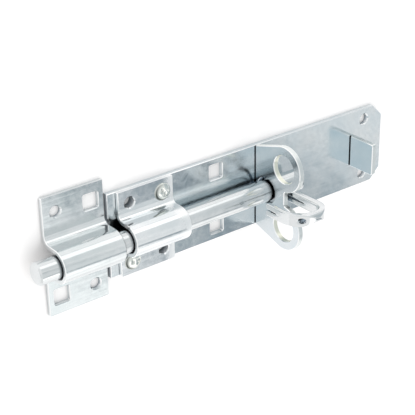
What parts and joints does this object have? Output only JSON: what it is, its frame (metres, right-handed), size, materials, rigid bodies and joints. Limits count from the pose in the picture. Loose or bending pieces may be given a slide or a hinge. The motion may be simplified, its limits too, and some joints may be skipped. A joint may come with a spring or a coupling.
{
  "type": "padbolt",
  "caption": "Zinc-plated steel padbolt for a gate or shed door: a round bolt in a riveted arch guide, a swinging hasp, a staple plate with padlock eyes, a stop lug and a separate keep.",
  "frame": {"origin": "middle of the back plate's shooting end, on the back face that lies on the door", "axes": "+X along the bolt from its nose to the stop lug, +Y across the plate, +Z out of the door"},
  "size_m": [0.258, 0.07, 0.0589],
  "materials": {
    "plate_zinc": "bright zinc plate",
    "folded_zinc": "bright zinc plate",
    "rivet_zinc": "bright zinc plate",
    "staple_zinc": "bright zinc plate",
    "bolt_zinc": "bright zinc plate",
    "hasp_zinc": "bright zinc plate"
  },
  "bodies": {
    "plate_assembly": {"back_plate": "plate_zinc", "guide": "folded_zinc", "guide_rivet_upper": "rivet_zinc", "guide_rivet_lower": "rivet_zinc", "keep": "folded_zinc", "staple_plate": "staple_zinc", "stop_lug": "staple_zinc"},
    "bolt": {"bolt_bar": "bolt_zinc"},
    "hasp": {"hasp": "hasp_zinc"}
  },
  "joints": [
    {"name": "bolt_slide", "type": "slide", "parent": "plate_assembly", "child": "bolt", "axis": [1, 0, 0], "range_m": [-0.0017, 0.0512]},
    {"name": "hasp_turn", "type": "hinge", "parent": "bolt", "child": "hasp", "pos_m": [0.1101, 0, 0.0127], "axis": [1, 0, 0], "range_deg": [-98, 98]}
  ]
}
